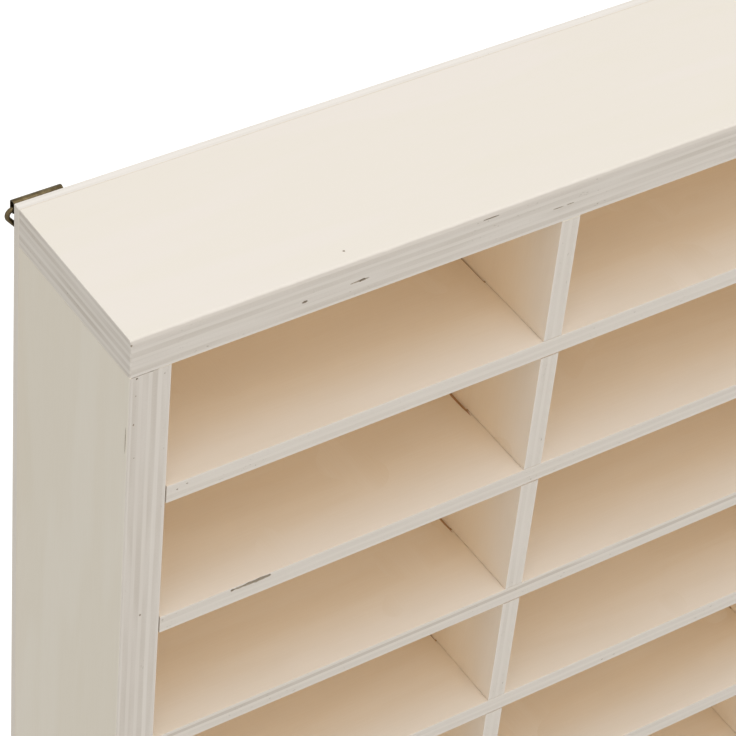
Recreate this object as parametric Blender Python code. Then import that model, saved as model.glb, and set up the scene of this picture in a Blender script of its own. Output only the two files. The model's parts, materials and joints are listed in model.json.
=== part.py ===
"""Collector display case: an open wall case of birch plywood.

A thick frame holds a grid of thin shelves and dividers that cross in half-lap slots. A thin back
panel is nailed over the rear, and two strap hangers with swinging rings hang the case on a wall.
The front faces -Y, the back +Y, and the origin is at the middle of the underside.
"""

import math

import bmesh
import bpy
from mathutils import Vector

for item in list(bpy.data.objects):
    bpy.data.objects.remove(item, do_unlink=True)

# Grid of compartments
COLUMNS = 3
ROWS = 8
OPENING_WIDTH = 0.120
OPENING_HEIGHT = 0.043

# Plywood boards
FRAME_BOARD = 0.012
GRID_BOARD = 0.006
BACK_BOARD = 0.0028
FRAME_DEPTH = 0.0576

# Sanded edges
FRONT_ROUND = 0.0014
SIDE_EASE = 0.0006
CORNER_EASE = 0.0003
FRONT_ARRIS = 0.0001
EASE_STEPS = 4

# Clearances between boards
GLUE_LINE = 0.0002
SHELF_END_GAP = 0.0004
SLOT_PLAY = 0.0004
SLOT_SEAT = 0.0002

# Strap hangers
STRAP_INSET = 0.0004
STRAP_WIDTH = 0.0144
STRAP_SHEET = 0.0004
EYE_RISE = 0.0015
EYE_CURL = math.radians(110)
EYE_STEPS = 12
CURL_STEPS = 7
END_STEPS = 12
WIRE_DIAMETER = 0.0014
WIRE_PLAY = 0.00025
WIRE_ROUNDNESS = 3
RING_DROP = 0.0125
RING_BEND = 0.0015
BEND_STEPS = 7
HINGE_BELOW_TOP = 0.0032
SEAT_GAP = 0.0002

# Hanger screws
SCREW_SHANK = 0.0026
SCREW_LENGTH = 0.016
SCREW_HEAD = 0.0054
SCREW_HEAD_HEIGHT = 0.0017
SCREW_BELOW_RING = 0.0008
RECESS_WIDTH = 0.0007
RECESS_SPAN = 0.0028
RECESS_DEPTH = 0.0009
SCREW_SIDES = 20
CROWN_STEPS = 4

# Panel brads
BRADS_ON_AN_EDGE = 4
BRAD_SHANK = 0.0012
BRAD_LENGTH = 0.016
BRAD_HEAD = 0.0024
BRAD_HEAD_HEIGHT = 0.0007
BRAD_FROM_CORNER = 0.045
PIN_PLAY = 0.0002
BRAD_SIDES = 10

# Sizes that follow
INNER_WIDTH = COLUMNS * OPENING_WIDTH + (COLUMNS - 1) * GRID_BOARD
INNER_HEIGHT = ROWS * OPENING_HEIGHT + (ROWS - 1) * GRID_BOARD
CASE_WIDTH = INNER_WIDTH + 2 * FRAME_BOARD
CASE_HEIGHT = INNER_HEIGHT + 2 * FRAME_BOARD
CASE_DEPTH = FRAME_DEPTH + BACK_BOARD
FRONT = -CASE_DEPTH / 2
FRAME_BACK = FRONT + FRAME_DEPTH
BACK = CASE_DEPTH / 2
RIGHT = CASE_WIDTH / 2
BOARD_BACK = FRAME_BACK - GLUE_LINE
HALF_LAP = (FRONT + BOARD_BACK) / 2
CASE_LOW = Vector((-RIGHT, FRONT, 0))
CASE_HIGH = Vector((RIGHT, BACK, CASE_HEIGHT))

EYE_OUTSIDE = WIRE_DIAMETER / 2 + WIRE_PLAY + STRAP_SHEET
HINGE_Y = BACK + SEAT_GAP + EYE_OUTSIDE
HINGE_Z = CASE_HEIGHT - HINGE_BELOW_TOP
HINGE_X = RIGHT - STRAP_INSET - STRAP_WIDTH / 2
SCREW_DROP = RING_DROP + WIRE_DIAMETER / 2 + SCREW_BELOW_RING + SCREW_HEAD / 2
SCREW_Z = HINGE_Z - SCREW_DROP
SCREW_SEAT = BACK + SEAT_GAP + STRAP_SHEET + SEAT_GAP
RING_HALF_BASE = STRAP_WIDTH / 2
HANGER_PLACES = {"left": -HINGE_X, "right": HINGE_X}

# Cutters run this far past what they cut
OVERCUT = 0.002
# Two places nearer than this are the same place
SAME_PLACE = 1e-6
# Faces that meet at more than this keep a crisp edge
SHARP_ANGLE = math.radians(40)


def plain_finish(name, colour, roughness, metallic):
    """A plain finish for one kind of piece."""
    material = bpy.data.materials.new(name)
    material.use_nodes = True
    shader = material.node_tree.nodes["Principled BSDF"]
    shader.inputs["Base Color"].default_value = (*colour, 1.0)
    shader.inputs["Roughness"].default_value = roughness
    shader.inputs["Metallic"].default_value = metallic
    return material


PLYWOOD = plain_finish("birch_plywood", (0.82, 0.73, 0.61), 0.6, 0.0)
BRASS = plain_finish("antique_brass", (0.20, 0.15, 0.07), 0.4, 1.0)
STEEL = plain_finish("bright_steel", (0.55, 0.55, 0.53), 0.35, 1.0)


def add_piece(name, bm, material=None, location=(0, 0, 0)):
    """Turns a bmesh into a named object."""
    bmesh.ops.recalc_face_normals(bm, faces=bm.faces)
    mesh = bpy.data.meshes.new(name)
    bm.to_mesh(mesh)
    bm.free()
    if material:
        mesh.materials.append(material)
    piece = bpy.data.objects.new(name, mesh)
    piece.location = location
    bpy.context.scene.collection.objects.link(piece)
    return piece


def make_cutter(name, bm):
    """An object that only shapes others."""
    cutter = add_piece(name, bm)
    cutter.hide_render = True
    cutter.display_type = "WIRE"
    return cutter


def cut(piece, cutter):
    """Takes the cutter's shape out of a piece."""
    boolean = piece.modifiers.new(cutter.name, "BOOLEAN")
    boolean.operation = "DIFFERENCE"
    boolean.solver = "EXACT"
    boolean.object = cutter


def add_box(bm, low, high):
    """Adds a box between two corners."""
    low, high = Vector(low), Vector(high)
    corners = bmesh.ops.create_cube(bm, size=1.0)["verts"]
    bmesh.ops.scale(bm, vec=high - low, verts=corners)
    bmesh.ops.translate(bm, vec=(low + high) / 2, verts=corners)


def edge_ease(middle, along, longest):
    """How far an edge is sanded: most on the case's own front edges, not at all on joints."""
    across = [axis for axis in range(3) if axis != along]
    outer = [
        axis
        for axis in across
        if min(abs(middle[axis] - CASE_LOW[axis]), abs(middle[axis] - CASE_HIGH[axis])) < SAME_PLACE
    ]
    on_front = abs(middle.y - FRONT) < SAME_PLACE
    if len(outer) == 2 and on_front:
        return FRONT_ROUND if along == 0 else SIDE_EASE
    if len(outer) == 2:
        return CORNER_EASE
    if on_front and along == longest:
        return FRONT_ARRIS
    return 0.0


def board(name, low, high):
    """A plywood board between two corners, with the edges that a hand sands eased."""
    low, high = Vector(low), Vector(high)
    size = high - low
    centre = (low + high) / 2
    bm = bmesh.new()
    add_box(bm, -size / 2, size / 2)
    weight = bm.edges.layers.float.new("bevel_weight_edge")
    for edge in bm.edges:
        span = edge.verts[1].co - edge.verts[0].co
        along = max(range(3), key=lambda axis: abs(span[axis]))
        longest = max(range(3), key=lambda axis: size[axis])
        middle = centre + (edge.verts[0].co + edge.verts[1].co) / 2
        edge[weight] = edge_ease(middle, along, longest) / FRONT_ROUND
    piece = add_piece(name, bm, PLYWOOD, centre)
    bevel = piece.modifiers.new("eased_edges", "BEVEL")
    bevel.limit_method = "WEIGHT"
    bevel.width = FRONT_ROUND
    bevel.segments = EASE_STEPS
    return piece


def add_turned(bm, profile, centre, sides):
    """Turns a profile of (radius, place along Y) points about the line through the centre along Y."""
    centre = Vector(centre)
    points = [bm.verts.new(centre + Vector((radius, y, 0))) for radius, y in profile]
    edges = [bm.edges.new(ends) for ends in zip(points, points[1:])]
    bmesh.ops.spin(
        bm,
        geom=points + edges,
        cent=centre,
        axis=(0, 1, 0),
        angle=2 * math.pi,
        steps=sides,
        use_merge=True,
    )


def weld(bm):
    bmesh.ops.remove_doubles(bm, verts=bm.verts, dist=SAME_PLACE)


def divider_x(column):
    """The middle of the divider to the right of a column."""
    return -INNER_WIDTH / 2 + column * (OPENING_WIDTH + GRID_BOARD) - GRID_BOARD / 2


def shelf_z(row):
    """The middle of the shelf under a row, counted from the top."""
    return CASE_HEIGHT - FRAME_BOARD - row * (OPENING_HEIGHT + GRID_BOARD) + GRID_BOARD / 2


def build_frame():
    """Top and bottom lap over the ends of the sides."""
    under_top = CASE_HEIGHT - FRAME_BOARD
    side_low = FRAME_BOARD + GLUE_LINE
    side_high = under_top - GLUE_LINE
    inside = RIGHT - FRAME_BOARD
    return {
        "top_panel": board(
            "top_panel", (-RIGHT, FRONT, under_top), (RIGHT, BOARD_BACK, CASE_HEIGHT)
        ),
        "bottom_panel": board(
            "bottom_panel", (-RIGHT, FRONT, 0), (RIGHT, BOARD_BACK, FRAME_BOARD)
        ),
        "left_side": board(
            "left_side", (-RIGHT, FRONT, side_low), (-inside, BOARD_BACK, side_high)
        ),
        "right_side": board(
            "right_side", (inside, FRONT, side_low), (RIGHT, BOARD_BACK, side_high)
        ),
    }


def build_back():
    """The back panel covers the whole rear of the frame."""
    return board("back_panel", (-RIGHT, FRAME_BACK, 0), (RIGHT, BACK, CASE_HEIGHT))


def build_grid():
    """Shelves are slotted from the rear and dividers from the front, each to half its depth.

    The dividers sit down on the shelves, so the play of their slots is under each shelf.
    """
    slot = GRID_BOARD / 2 + SLOT_PLAY
    shelf_slots = bmesh.new()
    for column in range(1, COLUMNS):
        x = divider_x(column)
        add_box(
            shelf_slots,
            (x - slot, HALF_LAP - SLOT_PLAY, 0),
            (x + slot, BOARD_BACK + OVERCUT, CASE_HEIGHT),
        )
    shelf_slots = make_cutter("shelf_slots", shelf_slots)
    divider_slots = bmesh.new()
    for row in range(1, ROWS):
        z = shelf_z(row)
        add_box(
            divider_slots,
            (-RIGHT, FRONT - OVERCUT, z - slot),
            (RIGHT, HALF_LAP + SLOT_PLAY, z + GRID_BOARD / 2 + SLOT_SEAT),
        )
    divider_slots = make_cutter("divider_slots", divider_slots)

    shelf_end = INNER_WIDTH / 2 - SHELF_END_GAP
    for row in range(1, ROWS):
        low = shelf_z(row) - GRID_BOARD / 2
        shelf = board(
            f"shelf_{row}",
            (-shelf_end, FRONT, low),
            (shelf_end, BOARD_BACK, low + GRID_BOARD),
        )
        cut(shelf, shelf_slots)
    for column in range(1, COLUMNS):
        left = divider_x(column) - GRID_BOARD / 2
        divider = board(
            f"divider_{column}",
            (left, FRONT, FRAME_BOARD + SHELF_END_GAP),
            (left + GRID_BOARD, BOARD_BACK, CASE_HEIGHT - FRAME_BOARD - SHELF_END_GAP),
        )
        cut(divider, divider_slots)


def brad_profile(play):
    """A flush-headed panel brad, from its head to its point, grown by some play."""
    head = BRAD_HEAD / 2 + play
    shank = BRAD_SHANK / 2 + play
    under_head = -BRAD_HEAD_HEIGHT - play
    outside = OVERCUT if play else 0.0
    return [
        (0, outside),
        (head, outside),
        (head, under_head),
        (shank, under_head),
        (shank, -BRAD_LENGTH + BRAD_SHANK - play),
        (0, -BRAD_LENGTH - play),
    ]


def brad_places():
    """Brads stand in the middle of the frame boards, evenly along the four edges."""
    middle = FRAME_BOARD / 2
    reach_x = RIGHT - BRAD_FROM_CORNER
    reach_z = CASE_HEIGHT / 2 - BRAD_FROM_CORNER
    places = {}
    for number in range(BRADS_ON_AN_EDGE):
        share = 2 * number / (BRADS_ON_AN_EDGE - 1) - 1
        x = share * reach_x
        z = CASE_HEIGHT / 2 + share * reach_z
        places[f"top_brad_{number + 1}"] = (x, BACK, CASE_HEIGHT - middle)
        places[f"bottom_brad_{number + 1}"] = (x, BACK, middle)
        places[f"left_brad_{number + 1}"] = (-RIGHT + middle, BACK, z)
        places[f"right_brad_{number + 1}"] = (RIGHT - middle, BACK, z)
    return places


def build_brads(frame, back_panel):
    holes = bmesh.new()
    for name, place in brad_places().items():
        bm = bmesh.new()
        add_turned(bm, brad_profile(0), (0, 0, 0), BRAD_SIDES)
        weld(bm)
        add_piece(name, bm, STEEL, place)
        add_turned(holes, brad_profile(PIN_PLAY), place, BRAD_SIDES)
    weld(holes)
    holes = make_cutter("brad_holes", holes)
    for piece in (back_panel, *frame.values()):
        cut(piece, holes)


def roll_on(bm, end_face, centre, angle, steps):
    """Rolls the sheet on from its end face about a line along X, and gives the new end face."""
    turned = bmesh.ops.spin(
        bm, geom=[end_face], cent=centre, axis=(1, 0, 0), angle=-angle, steps=steps
    )
    bmesh.ops.delete(bm, geom=[end_face], context="FACES_ONLY")
    return next(item for item in turned["geom_last"] if isinstance(item, bmesh.types.BMFace))


def build_strap(name, x):
    """A flat leaf with a round lower end, whose upper end is folded into a tall eye for the ring."""
    half = STRAP_WIDTH / 2
    bm = bmesh.new()
    outline = [bm.verts.new((half, -EYE_OUTSIDE, EYE_RISE))]
    for step in range(END_STEPS + 1):
        turn = math.pi * step / END_STEPS
        place = (half * math.cos(turn), -EYE_OUTSIDE, -SCREW_DROP - half * math.sin(turn))
        outline.append(bm.verts.new(place))
    outline.append(bm.verts.new((-half, -EYE_OUTSIDE, EYE_RISE)))
    leaf = bm.faces.new(outline)
    grown = bmesh.ops.extrude_face_region(bm, geom=[leaf])["geom"]
    outer = [item for item in grown if isinstance(item, bmesh.types.BMVert)]
    bmesh.ops.translate(bm, vec=(0, STRAP_SHEET, 0), verts=outer)
    upper_end = next(
        face for face in bm.faces if all(v.co.z > EYE_RISE - SAME_PLACE for v in face.verts)
    )
    over_top = roll_on(bm, upper_end, (0, 0, EYE_RISE), math.pi, EYE_STEPS)
    drawn = bmesh.ops.extrude_face_region(bm, geom=[over_top])["geom"]
    lip = [item for item in drawn if isinstance(item, bmesh.types.BMVert)]
    bmesh.ops.translate(bm, vec=(0, 0, -EYE_RISE), verts=lip)
    bmesh.ops.delete(bm, geom=[over_top], context="FACES_ONLY")
    lip_end = next(item for item in drawn if isinstance(item, bmesh.types.BMFace))
    roll_on(bm, lip_end, (0, 0, 0), EYE_CURL, CURL_STEPS)
    strap = add_piece(name, bm, BRASS, (x, HINGE_Y, HINGE_Z))
    strap.data.shade_smooth()
    strap.data.set_sharp_from_angle(angle=SHARP_ANGLE)
    return strap


def build_ring(name, x):
    """A triangle of wire with three equal bends, hanging from its base in the eye."""
    apex = RING_DROP - RING_BEND
    slant = math.atan2(RING_HALF_BASE, apex - RING_BEND)
    half_turn = math.pi
    bends = (
        ((RING_HALF_BASE, -RING_BEND), half_turn / 2, -slant),
        ((0, -apex), -slant, slant - half_turn),
        ((-RING_HALF_BASE, -RING_BEND), slant - half_turn, -1.5 * half_turn),
    )
    path = []
    for (middle_x, middle_z), start, end in bends:
        for step in range(BEND_STEPS + 1):
            turn = start + (end - start) * step / BEND_STEPS
            path.append(
                (middle_x + RING_BEND * math.cos(turn), middle_z + RING_BEND * math.sin(turn))
            )
    wire = bpy.data.curves.new(name, "CURVE")
    wire.dimensions = "3D"
    wire.bevel_depth = WIRE_DIAMETER / 2
    wire.bevel_resolution = WIRE_ROUNDNESS
    spline = wire.splines.new("POLY")
    spline.points.add(len(path) - 1)
    for point, (local_x, local_z) in zip(spline.points, path):
        point.co = (local_x, 0, local_z, 1)
    spline.use_cyclic_u = True
    wire.materials.append(BRASS)
    ring = bpy.data.objects.new(name, wire)
    ring.location = (x, HINGE_Y, HINGE_Z)
    bpy.context.scene.collection.objects.link(ring)
    return ring


def screw_profile(play):
    """A round-headed screw, from its head to its point; with play, the hole for its shank."""
    shank = SCREW_SHANK / 2 + play
    point = -SCREW_LENGTH - play
    neck = point + SCREW_SHANK
    if play:
        return [(0, OVERCUT), (shank, OVERCUT), (shank, neck), (0, point)]
    crown = []
    for step in range(1, CROWN_STEPS + 1):
        turn = math.pi / 2 * (1 - step / CROWN_STEPS)
        crown.append((SCREW_HEAD / 2 * math.cos(turn), SCREW_HEAD_HEIGHT * math.sin(turn)))
    return [(0, SCREW_HEAD_HEIGHT), *crown, (shank, 0), (shank, neck), (0, point)]


def build_screw(name, x):
    bm = bmesh.new()
    add_turned(bm, screw_profile(0), (0, 0, 0), SCREW_SIDES)
    weld(bm)
    screw = add_piece(name, bm, BRASS, (x, SCREW_SEAT, SCREW_Z))
    screw.data.shade_smooth()
    screw.data.set_sharp_from_angle(angle=SHARP_ANGLE)
    floor = SCREW_SEAT + SCREW_HEAD_HEIGHT - RECESS_DEPTH
    top = SCREW_SEAT + SCREW_HEAD_HEIGHT + OVERCUT
    for arm, half_x, half_z in (
        ("upright", RECESS_WIDTH / 2, RECESS_SPAN / 2),
        ("level", RECESS_SPAN / 2, RECESS_WIDTH / 2),
    ):
        recess = bmesh.new()
        add_box(
            recess,
            (x - half_x, floor, SCREW_Z - half_z),
            (x + half_x, top, SCREW_Z + half_z),
        )
        cut(screw, make_cutter(f"{name}_{arm}_recess", recess))
    return screw


def build_hangers(frame, back_panel):
    """A strap, its ring and its screw at each upper corner of the back."""
    holes = bmesh.new()
    for x in HANGER_PLACES.values():
        add_turned(holes, screw_profile(PIN_PLAY), (x, SCREW_SEAT, SCREW_Z), SCREW_SIDES)
    weld(holes)
    holes = make_cutter("screw_holes", holes)
    for side, x in HANGER_PLACES.items():
        strap = build_strap(f"{side}_hanger_strap", x)
        build_ring(f"{side}_hanger_ring", x)
        build_screw(f"{side}_hanger_screw", x)
        for piece in (strap, frame[f"{side}_side"]):
            cut(piece, holes)
    cut(back_panel, holes)


def main():
    frame = build_frame()
    back_panel = build_back()
    build_grid()
    build_brads(frame, back_panel)
    build_hangers(frame, back_panel)


main()
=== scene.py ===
# %% [markdown]
# # A collector display case of birch plywood
# The case hangs on a wall and shows small things in a grid of open compartments. Its boards, grid,
# hangers and nails are already modelled as exact solids. This lesson gives them their finish: pale
# plywood with its layers showing on every sawn edge, dark antique brass, bright nail heads, soft light.
# The first step loads the solids as a fixed frame, in metres, and keeps their outer box.

# %% Load the case
import json
import math

import bmesh
import bpy
from mathutils import Matrix, Vector, noise


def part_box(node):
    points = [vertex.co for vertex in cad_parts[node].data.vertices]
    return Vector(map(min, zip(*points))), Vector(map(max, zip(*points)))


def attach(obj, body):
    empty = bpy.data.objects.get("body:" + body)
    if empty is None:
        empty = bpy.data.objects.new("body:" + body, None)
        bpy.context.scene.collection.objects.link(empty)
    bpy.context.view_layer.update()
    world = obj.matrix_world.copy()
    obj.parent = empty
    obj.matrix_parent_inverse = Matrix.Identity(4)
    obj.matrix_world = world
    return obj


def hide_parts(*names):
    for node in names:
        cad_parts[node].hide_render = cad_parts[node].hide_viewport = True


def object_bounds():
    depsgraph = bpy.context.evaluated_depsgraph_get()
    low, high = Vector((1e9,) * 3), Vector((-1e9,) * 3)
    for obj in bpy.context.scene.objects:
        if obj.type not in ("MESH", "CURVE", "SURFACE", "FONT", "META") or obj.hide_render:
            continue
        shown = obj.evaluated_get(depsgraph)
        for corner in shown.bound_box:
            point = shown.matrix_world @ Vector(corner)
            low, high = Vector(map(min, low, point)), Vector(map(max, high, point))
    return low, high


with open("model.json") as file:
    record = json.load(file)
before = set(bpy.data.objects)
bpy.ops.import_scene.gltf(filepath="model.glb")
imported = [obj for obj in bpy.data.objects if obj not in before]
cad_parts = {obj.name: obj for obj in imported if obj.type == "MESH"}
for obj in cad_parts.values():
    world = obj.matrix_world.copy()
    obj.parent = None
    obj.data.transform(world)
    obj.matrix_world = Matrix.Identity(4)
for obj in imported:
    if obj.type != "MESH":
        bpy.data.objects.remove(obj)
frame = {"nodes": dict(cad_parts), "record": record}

CAD_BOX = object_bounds()
MM = 0.001
case_size = [round(side / MM, 1) for side in CAD_BOX[1] - CAD_BOX[0]]
print("case of", len(frame["nodes"]), "solids,", case_size, "mm")

# %% [markdown]
# ## Camera
# The photograph is a close view of the top left corner, from in front, from the left and from above.
# A camera could be aimed with a constraint, but the picture is also turned a little, so it is set
# by four plain facts: where it stands from the front top left corner of the case, its heading, how far
# it looks down, and how far it is rolled. The long lens keeps the boards' edges nearly parallel.

# %% Camera
FROM_CORNER = Vector((-0.30379, -0.50032, 0.52358))
HEADING = math.radians(-36.975)
LOOKS_DOWN = math.radians(41.953)
ROLL = math.radians(6.073)
FOCAL_LENGTH_MM = 156.6

top_low, top_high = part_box("top_panel")
corner = Vector((top_low.x, top_low.y, top_high.z))
lens = bpy.data.cameras.new("camera")
lens.lens = FOCAL_LENGTH_MM
camera = bpy.data.objects.new("camera", lens)
turn = (
    Matrix.Rotation(HEADING, 4, "Z")
    @ Matrix.Rotation(math.pi / 2 - LOOKS_DOWN, 4, "X")
    @ Matrix.Rotation(ROLL, 4, "Z")
)
camera.matrix_world = Matrix.Translation(corner + FROM_CORNER) @ turn
bpy.context.scene.collection.objects.link(camera)
bpy.context.scene.camera = camera
print("camera", round(FROM_CORNER.length, 3), "m from the corner")

# %% [markdown]
# ## Colours and nodes
# Colours are picked as sRGB hex values, as in any paint program, while shaders work in linear light, so
# one function converts them. Node trees get long when every link is written out, so one more function
# adds a node with its settings, and feeds its sockets from values or from other nodes.

# %% Two helpers for materials
def linear(hex_colour):
    """Turns an sRGB hex colour into linear red, green, blue and alpha."""
    channels = [int(hex_colour[i : i + 2], 16) / 255 for i in (0, 2, 4)]
    lit = [c / 12.92 if c <= 0.04045 else ((c + 0.055) / 1.055) ** 2.4 for c in channels]
    return (*lit, 1.0)


def add_node(tree, kind, settings=None, **inputs):
    """Adds a node. An input named in0, in1 and so on is found by its number, others by their name."""
    node = tree.nodes.new(kind)
    for name, value in (settings or {}).items():
        setattr(node, name, value)
    for name, value in inputs.items():
        socket = node.inputs[int(name[2:])] if name[:2] == "in" else node.inputs[name.replace("_", " ")]
        if isinstance(value, bpy.types.NodeSocket):
            tree.links.new(value, socket)
        else:
            socket.default_value = value
    return node


print("cream is", [round(c, 3) for c in linear("efe6d8")])

# %% [markdown]
# ## Light
# The case stands in a white studio under one wide soft light from above, with fainter light from all
# round. Lamps could do all of it, but an even sky gives the same soft fall of light into every
# compartment from any side. The camera, and shiny metal, see plain white instead of that sky.

# %% Sky
SKY = 0.63

world = bpy.data.worlds.new("studio")
world.use_nodes = True
bpy.context.scene.world = world
tree = world.node_tree
path = add_node(tree, "ShaderNodeLightPath").outputs
seen = add_node(
    tree, "ShaderNodeMath", {"operation": "MAXIMUM"},
    in0=path["Is Camera Ray"], in1=path["Is Transmission Ray"],
).outputs[0]
seen = add_node(
    tree, "ShaderNodeMath", {"operation": "MAXIMUM"}, in0=seen, in1=path["Is Glossy Ray"]
).outputs[0]
strength = add_node(tree, "ShaderNodeMix", in0=seen, in2=SKY, in3=1.0).outputs[0]
tree.links.new(strength, tree.nodes["Background"].inputs["Strength"])
tree.nodes["Background"].inputs["Color"].default_value = (1, 1, 1, 1)
bpy.context.scene.view_settings.view_transform = "Standard"
print("sky at", SKY)

# %% Softboxes
AIM = Vector((0, 0, 0.3))
SOFTBOXES = {
    "overhead": (12.3, 1.6, Vector((-0.2, -0.5, 2.2)), (0.98, 1.0, 1.05)),
    "front": (15.4, 2.0, Vector((0.0, -2.6, 0.9)), (0.97, 1.0, 1.09)),
    "left": (4.2, 2.0, Vector((-2.6, -0.8, 0.9)), (1.0, 1.0, 1.0)),
}

for name, (watts, size, place, tint) in SOFTBOXES.items():
    lamp = bpy.data.lights.new(name + "_softbox", "AREA")
    lamp.energy = watts
    lamp.size = size
    lamp.color = tint
    softbox = bpy.data.objects.new(name + "_softbox", lamp)
    aimed = (AIM - place).to_track_quat("-Z", "Y").to_matrix().to_4x4()
    softbox.matrix_world = Matrix.Translation(place) @ aimed
    bpy.context.scene.collection.objects.link(softbox)
print("softboxes", list(SOFTBOXES))

# %% [markdown]
# ## Floor
# A sheet of white paper lies under the case. Lighting it up to white would flood the case with light
# from below, so the paper only glows to the camera's own rays, and still takes the case's shadow.

# %% Floor
FLOOR_REACH = 30.0
PAPER_GLOW = 0.62

paper = bpy.data.materials.new("white_studio_paper")
paper.use_nodes = True
tree = paper.node_tree
shader = tree.nodes["Principled BSDF"]
shader.inputs["Base Color"].default_value = linear("d8d8d6")
shader.inputs["Roughness"].default_value = 0.9
shader.inputs["Emission Color"].default_value = (1, 1, 1, 1)
path = add_node(tree, "ShaderNodeLightPath").outputs
glow = add_node(
    tree, "ShaderNodeMath", {"operation": "MULTIPLY"}, in0=path["Is Camera Ray"], in1=PAPER_GLOW
).outputs[0]
tree.links.new(glow, shader.inputs["Emission Strength"])

bm = bmesh.new()
bmesh.ops.create_grid(bm, x_segments=1, y_segments=1, size=FLOOR_REACH)
mesh = bpy.data.meshes.new("floor")
bm.to_mesh(mesh)
bm.free()
mesh.materials.append(paper)
floor = bpy.data.objects.new("floor", mesh)
floor.location.z = CAD_BOX[0].z
bpy.context.scene.collection.objects.link(floor)
print("floor at", floor.location.z)

# %% [markdown]
# ## Pieces
# Each piece made here stands for one solid of the frame: it hides that solid and rides on the same body,
# which is in the record that comes with the solids, so one function looks it up. Shapes that need a hollow
# are cut with a Boolean, which is applied at once so that no cutter stays behind; the cut takes the
# cutter's own material.

# %% Two helpers for pieces
SMOOTH_BELOW = math.radians(32)
SAME_PLACE = 0.001 * MM
BODY_OF = {
    node: body for body, nodes in frame["record"]["behaviour"]["bodies"].items() for node in nodes
}
SLOT_OF = {part["node"]: part["material_slot"] for part in frame["record"]["subparts"]}


def add_piece(name, bm, material, node):
    """Turns a bmesh into a piece that stands for a solid."""
    mesh = bpy.data.meshes.new(name)
    bm.to_mesh(mesh)
    bm.free()
    mesh.materials.append(material)
    # A copied solid brings its flat shading along, which would stop the edges below from being found
    flat_shading = mesh.attributes.get("custom_normal")
    if flat_shading:
        mesh.attributes.remove(flat_shading)
    mesh.shade_smooth()
    mesh.set_sharp_from_angle(angle=SMOOTH_BELOW)
    piece = bpy.data.objects.new(name, mesh)
    bpy.context.scene.collection.objects.link(piece)
    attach(piece, BODY_OF[node])
    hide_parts(node)
    return piece


def carve(piece, bm, material):
    """Cuts a shape out of a piece for good."""
    mesh = bpy.data.meshes.new("cutter")
    bm.to_mesh(mesh)
    bm.free()
    mesh.materials.append(material)
    cutter = bpy.data.objects.new("cutter", mesh)
    bpy.context.scene.collection.objects.link(cutter)
    boolean = piece.modifiers.new("carve", "BOOLEAN")
    boolean.solver = "EXACT"
    boolean.material_mode = "TRANSFER"
    boolean.object = cutter
    carved = piece.evaluated_get(bpy.context.evaluated_depsgraph_get())
    whole = piece.data
    piece.data = bpy.data.meshes.new_from_object(carved)
    piece.modifiers.remove(boolean)
    bpy.data.objects.remove(cutter)
    bpy.data.meshes.remove(whole)
    piece.data.shade_smooth()
    piece.data.set_sharp_from_angle(angle=SMOOTH_BELOW)


print("slots", sorted(set(SLOT_OF.values())))

# %% [markdown]
# ## Plywood
# Birch plywood is a stack of thin veneers, peeled from the log and glued crosswise. On a face only one
# veneer shows, pale and nearly plain. On a sawn edge all of them show as stripes: a veneer cut along its
# grain is smooth and pale, and its neighbour, cut across, shows its darker pores. Stripes could be
# painted on each edge, but a solid pattern is truer: the shader works out which veneer a point is in,
# from its depth in the board, so that faces, edges and the walls of a hole all agree.

# %% Where a point is in its board
def board_places(tree, node):
    """A point's place in its board, in mm along, across and through it, and how its surface faces."""
    low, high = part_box(node)
    size = high - low
    axes = sorted(range(3), key=lambda axis: size[axis])
    through = Vector([float(axis == axes[0]) for axis in range(3)])
    along = Vector([float(axis == axes[2]) for axis in range(3)])
    turn = Matrix((along, through.cross(along), through))
    coords = add_node(tree, "ShaderNodeTexCoord").outputs
    place = add_node(
        tree, "ShaderNodeMapping",
        Vector=coords["Object"],
        Location=-(turn @ (low + high) / 2) / MM,
        Rotation=turn.to_euler(),
        Scale=(1 / MM, 1 / MM, 1 / MM),
    ).outputs[0]
    facing = add_node(
        tree, "ShaderNodeMapping", {"vector_type": "VECTOR"},
        Vector=coords["Normal"], Rotation=turn.to_euler(),
    ).outputs[0]
    facing = add_node(tree, "ShaderNodeVectorMath", {"operation": "ABSOLUTE"}, in0=facing).outputs[0]
    return place, add_node(tree, "ShaderNodeSeparateXYZ", in0=facing).outputs


print("boards are measured from their middle, in steps of", MM, "m")

# %% Which veneer it is in
# Each pattern is shifted by its board's seed, in steps of its own, so that no two boards match
STEP = {
    "wander": 7.0, "own": 31.7, "fine": 13.0, "flame": 5.0,
    "uneven": 9.0, "fray": 3.0, "specks": 11.0, "stretch": 3.0,
}
WANDER = 0.8
WANDER_SIZE = (45, 45, 5)


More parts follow.
